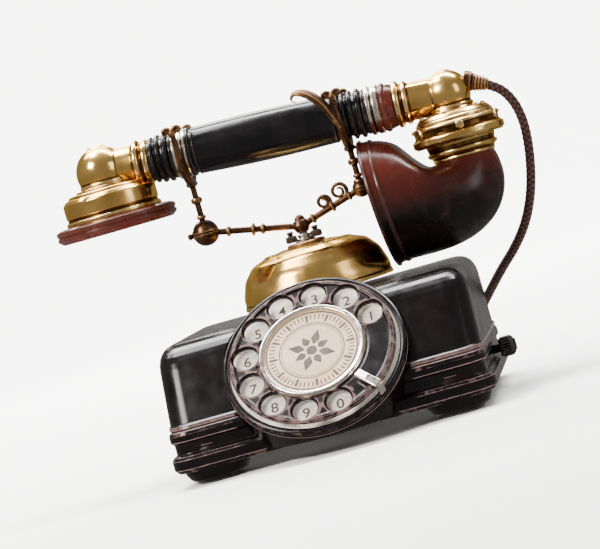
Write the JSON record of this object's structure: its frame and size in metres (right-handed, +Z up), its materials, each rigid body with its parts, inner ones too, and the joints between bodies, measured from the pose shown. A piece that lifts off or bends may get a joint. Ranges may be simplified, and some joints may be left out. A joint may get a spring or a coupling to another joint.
{
  "type": "rotary telephone",
  "caption": "Antique desk telephone: sloped case, dial with finger holes, brass gong, forked cradle, brass-ended handset with a big mouthpiece horn and a braided cord.",
  "frame": {"origin": "centre of the footprint's box, on the surface that the felt pads rest on", "axes": "+Z up, the dial faces -Y, the mouthpiece horn is on the +X side"},
  "size_m": [0.2352, 0.2525, 0.1643],
  "materials": {
    "bakelite": "brown moulded insulation",
    "black_iron": "black japanned casting",
    "black_paint": "gloss black stove enamel, worn to brown at the edges",
    "braid": "dark brown braided cotton",
    "brown_ebonite": "aged red-brown ebonite",
    "card_cream": "aged cream card",
    "copper_coil": "varnished windings",
    "dark_bronze": "dark patinated bronze",
    "ebonite": "polished black ebonite",
    "enamel_white": "white enamel with black numbers",
    "felt": "dark felt",
    "nickel": "nickel plate",
    "polished_brass": "polished brass with darker patina in the recesses",
    "rubber_black": "black rubber",
    "steel": "plain steel"
  },
  "bodies": {
    "base": {"base_case": "black_paint", "plinth": "black_paint", "bun_feet": "black_iron", "foot_pads": "felt", "foot_screws": "steel", "base_plate": "steel", "dial_housing": "black_paint", "number_plate": "enamel_white", "finger_stop": "nickel", "dial_mechanism_plate": "steel", "dial_spring_drum": "polished_brass", "gong": "polished_brass", "gong_stand": "black_iron", "gong_cap_plate": "dark_bronze", "thumb_nuts": "black_iron", "cradle_post": "nickel", "ringer_coils": "copper_coil", "ringer_frame": "steel", "hook_switch": "bakelite", "capacitor": "steel", "induction_coil": "copper_coil", "terminal_block": "bakelite", "terminal_screws": "polished_brass", "handset_cord_grommet": "rubber_black", "line_cord_inlet": "rubber_black", "cord_tail": "braid", "cord_coil": "braid"},
    "dial": {"finger_wheel": "black_paint", "dial_card": "card_cream", "card_ring": "nickel", "dial_shaft": "steel", "main_gear": "polished_brass", "impulse_cam": "steel"},
    "governor": {"governor": "polished_brass"},
    "cradle": {"plunger": "nickel", "cross_bar": "dark_bronze", "left_fork": "dark_bronze", "right_fork": "dark_bronze"},
    "hook_lever": {"hook_lever": "steel"},
    "clapper": {"clapper": "steel"},
    "side_knob": {"side_knob": "ebonite"},
    "handset": {"handle_tube": "steel", "handle": "ebonite", "left_collar": "ebonite", "left_ferrule": "nickel", "right_collar": "ebonite", "right_ferrule": "nickel", "ear_cap": "brown_ebonite", "receiver_cup": "polished_brass", "receiver_diaphragm": "steel", "receiver_magnet": "steel", "receiver_elbow": "polished_brass", "sender_elbow": "polished_brass", "sender_drum": "polished_brass", "sender_flange": "polished_brass", "carbon_capsule": "steel", "horn_socket": "polished_brass", "mouthpiece_horn": "brown_ebonite", "cord_gland": "dark_bronze", "handset_cord": "braid"}
  },
  "joints": [
    {"name": "dial_turn", "type": "hinge", "parent": "base", "child": "dial", "pos_m": [0.0046, -0.0544, 0.0436], "axis": [0, -0.7431, 0.6691], "range_deg": [-320, 0], "stiffness_Nm_per_rad": 0.004, "springref_deg": 34.38},
    {"name": "governor_spin", "type": "hinge", "parent": "base", "child": "governor", "pos_m": [-0.01715, -0.0544, 0.0436], "axis": [0, -0.7431, 0.6691], "range_deg": [0, 970]},
    {"name": "handset_lift", "type": "slide", "parent": "base", "child": "handset", "axis": [0, 0, 1], "range_m": [0, 0.06]},
    {"name": "cradle_rise", "type": "slide", "parent": "base", "child": "cradle", "axis": [0, 0, 1], "range_m": [0, 0.0037]},
    {"name": "hook_lever_pivot", "type": "hinge", "parent": "base", "child": "hook_lever", "pos_m": [0.0046, 0.0096, 0.0438], "axis": [1, 0, 0], "range_deg": [0, 10.6]},
    {"name": "clapper_rock", "type": "hinge", "parent": "base", "child": "clapper", "pos_m": [0.0046, 0.0576, 0.0458], "axis": [-1, 0, 0], "range_deg": [0, 5], "stiffness_Nm_per_rad": 0.01},
    {"name": "side_knob_turn", "type": "hinge", "parent": "base", "child": "side_knob", "pos_m": [0.08085, 0.0186, 0.018], "axis": [1, 0, 0], "range_deg": [0, 90]}
  ],
  "couplings": [
    {"joint": "governor_spin", "follows": "dial_turn", "ratio": -3},
    {"joint": "cradle_rise", "follows": "handset_lift", "ratio": 0.06},
    {"joint": "hook_lever_pivot", "follows": "handset_lift", "rad_per_m": 3}
  ]
}
